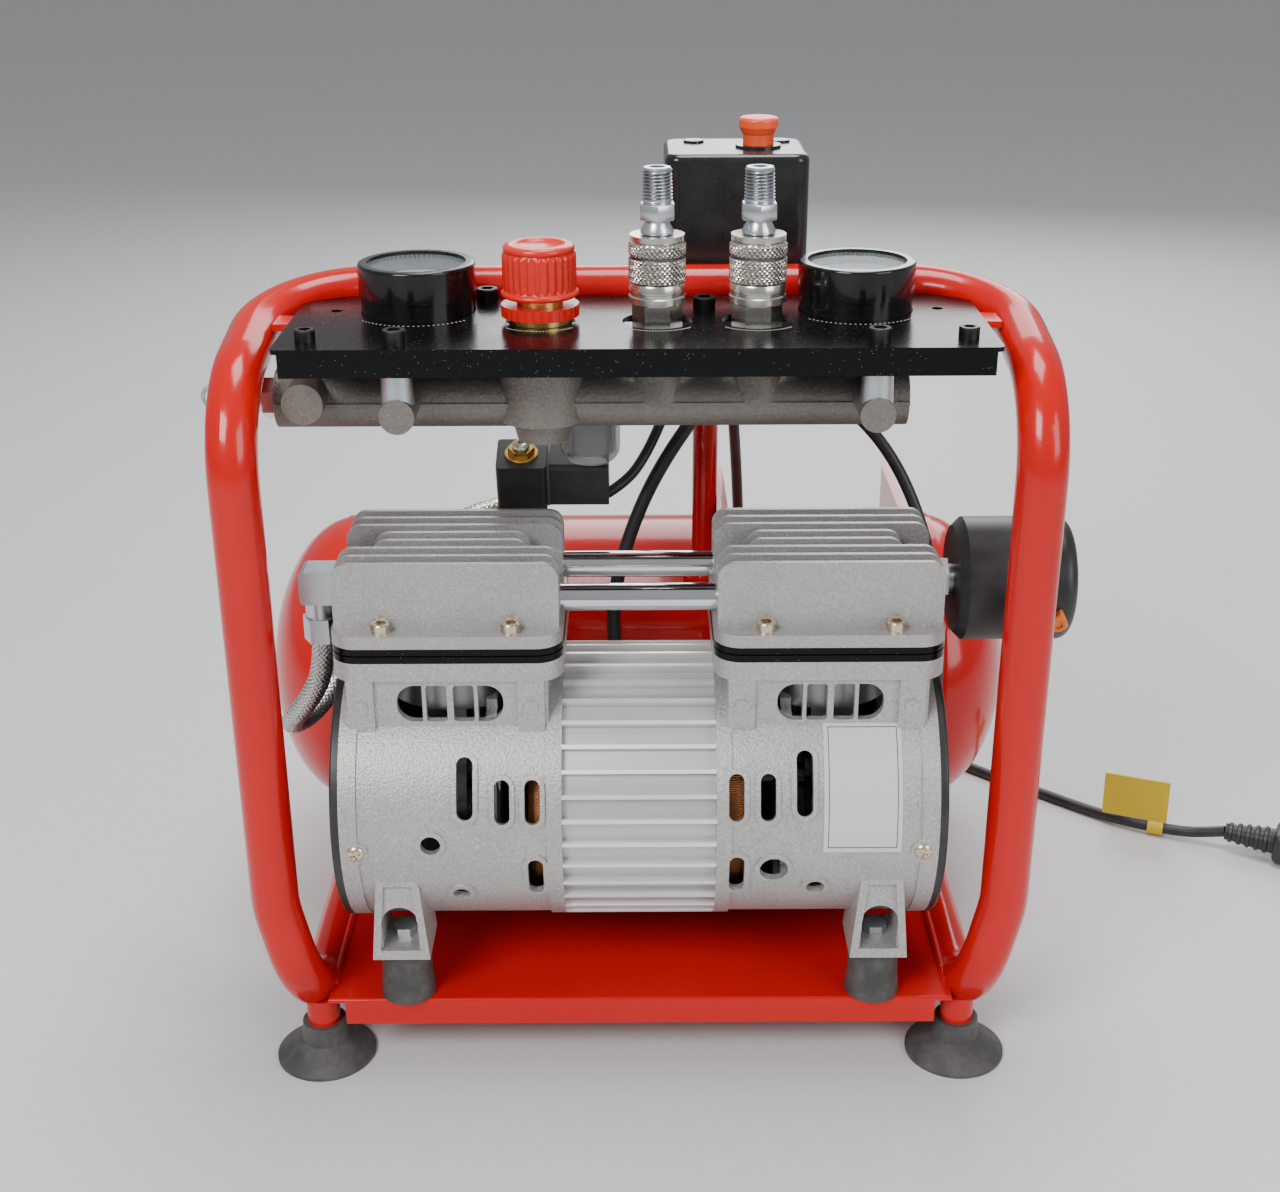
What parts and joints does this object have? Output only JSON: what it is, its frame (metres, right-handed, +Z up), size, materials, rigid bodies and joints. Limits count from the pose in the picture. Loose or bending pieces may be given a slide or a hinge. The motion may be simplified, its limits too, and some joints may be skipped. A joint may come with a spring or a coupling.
{
  "type": "airbrush compressor",
  "caption": "Oil-free air compressor for airbrushing: horizontal motor with a pump head at each end, small tank behind, bent-tube frame with a control panel on top.",
  "frame": {"origin": "on the floor under the middle of the machine without its power cord", "axes": "+X to the right, along the motor; +Y to the back, where the tank is; +Z up"},
  "size_m": [0.621, 0.4074, 0.43],
  "materials": {
    "red_enamel": "gloss",
    "black_enamel": "gloss",
    "rubber": "matte",
    "foot_rubber": "matte",
    "zinc": "satin",
    "nickel": "polished",
    "chrome": "polished",
    "brass": "satin",
    "cast_silver": "sand cast",
    "extruded_aluminium": "satin",
    "cast_manifold": "rough",
    "core_steel": "satin",
    "copper": "enamelled",
    "black_plastic": "gloss",
    "matte_black_plastic": "matte",
    "red_plastic": "gloss",
    "dial": "matte",
    "lens": "clear",
    "needle": "matte",
    "bowl": "smoked",
    "braid": "braided",
    "cable": "matte",
    "tag": "matte"
  },
  "bodies": {
    "machine": {"frame_tube": "red_enamel", "base_plate": "red_enamel", "rubber_feet": "foot_rubber", "base_bolts": "zinc", "rubber_mounts": "rubber", "control_panel": "black_enamel", "cap_screws": "nickel", "air_manifold": "cast_manifold", "manifold_standoffs": "zinc", "filter_bowl": "bowl", "safety_valve": "nickel", "gauge_cases": "black_enamel", "gauge_dials": "dial", "gauge_lenses": "lens", "regulator_bonnet": "brass", "regulator_lock_ring": "red_plastic", "coupler_bodies": "nickel", "air_tank": "red_enamel", "tank_fittings": "brass", "switch_post": "red_enamel", "solenoid_valve": "brass", "solenoid_coil": "matte_black_plastic", "switch_base": "matte_black_plastic", "switch_cover": "black_plastic", "stator_housing": "extruded_aluminium", "stator_core": "core_steel", "stator_windings": "copper", "crankcases": "cast_silver", "end_covers": "matte_black_plastic", "cylinder_liners": "core_steel", "shaft_bearings": "core_steel", "valve_plates": "black_enamel", "cylinder_heads": "cast_silver", "crossover_tubes": "chrome", "head_fittings": "zinc", "intake_silencer": "matte_black_plastic", "braided_hose": "braid", "wiring": "cable", "run_capacitor": "black_plastic", "cord_gland": "matte_black_plastic", "power_cord": "cable", "cord_coil": "cable", "cord_plug": "matte_black_plastic", "cord_tag": "tag"},
    "left_needle": {"left_gauge_needle": "needle"},
    "right_needle": {"right_gauge_needle": "needle"},
    "regulator": {"regulator_knob": "red_plastic"},
    "left_sleeve": {"left_coupler_sleeve": "nickel"},
    "right_sleeve": {"right_coupler_sleeve": "nickel"},
    "left_outlet": {"left_nipple": "zinc"},
    "right_outlet": {"right_nipple": "zinc"},
    "power_knob": {"switch_knob": "red_plastic"},
    "drain": {"drain_knob": "black_plastic"},
    "relief_ring": {"safety_ring": "zinc"},
    "filter_cap": {"silencer_cap": "matte_black_plastic"},
    "rotor": {"rotor_core": "core_steel", "rotor_shaft": "core_steel", "cooling_fans": "matte_black_plastic"},
    "left_pump": {"left_piston": "extruded_aluminium"},
    "right_pump": {"right_piston": "extruded_aluminium"}
  },
  "joints": [
    {"name": "left_needle_turn", "type": "hinge", "parent": "machine", "child": "left_needle", "pos_m": [-0.0975, -0.0632, 0.372], "axis": [0, 0, -1], "range_deg": [0, 270]},
    {"name": "right_needle_turn", "type": "hinge", "parent": "machine", "child": "right_needle", "pos_m": [0.0975, -0.0632, 0.372], "axis": [0, 0, -1], "range_deg": [0, 270]},
    {"name": "regulator_turn", "type": "hinge", "parent": "machine", "child": "regulator", "pos_m": [-0.042, -0.0842, 0.38], "axis": [0, 0, 1], "range_deg": [-720, 720]},
    {"name": "left_sleeve_slide", "type": "slide", "parent": "machine", "child": "left_sleeve", "axis": [0, 0, -1], "range_m": [0, 0.0055], "stiffness_N_per_m": 1500, "springref_m": -0.003},
    {"name": "right_sleeve_slide", "type": "slide", "parent": "machine", "child": "right_sleeve", "axis": [0, 0, -1], "range_m": [0, 0.0055], "stiffness_N_per_m": 1500, "springref_m": -0.003},
    {"name": "left_nipple_release", "type": "slide", "parent": "machine", "child": "left_outlet", "axis": [0, 0, 1], "range_m": [0, 0.03]},
    {"name": "right_nipple_release", "type": "slide", "parent": "machine", "child": "right_outlet", "axis": [0, 0, 1], "range_m": [0, 0.03]},
    {"name": "power_push", "type": "slide", "parent": "machine", "child": "power_knob", "axis": [0, 0, -1], "range_m": [0, 0.005]},
    {"name": "drain_turn", "type": "hinge", "parent": "machine", "child": "drain", "pos_m": [0.135, 0.0668, 0.035], "axis": [0, 0, 1], "range_deg": [-180, 360]},
    {"name": "relief_pull", "type": "slide", "parent": "machine", "child": "relief_ring", "axis": [-1, 0, 0], "range_m": [0, 0.003], "stiffness_N_per_m": 3000, "springref_m": -0.002},
    {"name": "filter_cap_twist", "type": "hinge", "parent": "machine", "child": "filter_cap", "pos_m": [0.188, -0.0842, 0.2362], "axis": [1, 0, 0], "range_deg": [0, 30]},
    {"name": "rotor_spin", "type": "hinge", "parent": "machine", "child": "rotor", "pos_m": [0, -0.0812, 0.1316], "axis": [1, 0, 0], "continuous": true},
    {"name": "left_piston_stroke", "type": "slide", "parent": "machine", "child": "left_pump", "axis": [0, 0, 1], "range_m": [-0.005, 0.005]},
    {"name": "right_piston_stroke", "type": "slide", "parent": "machine", "child": "right_pump", "axis": [0, 0, 1], "range_m": [-0.005, 0.005]}
  ]
}
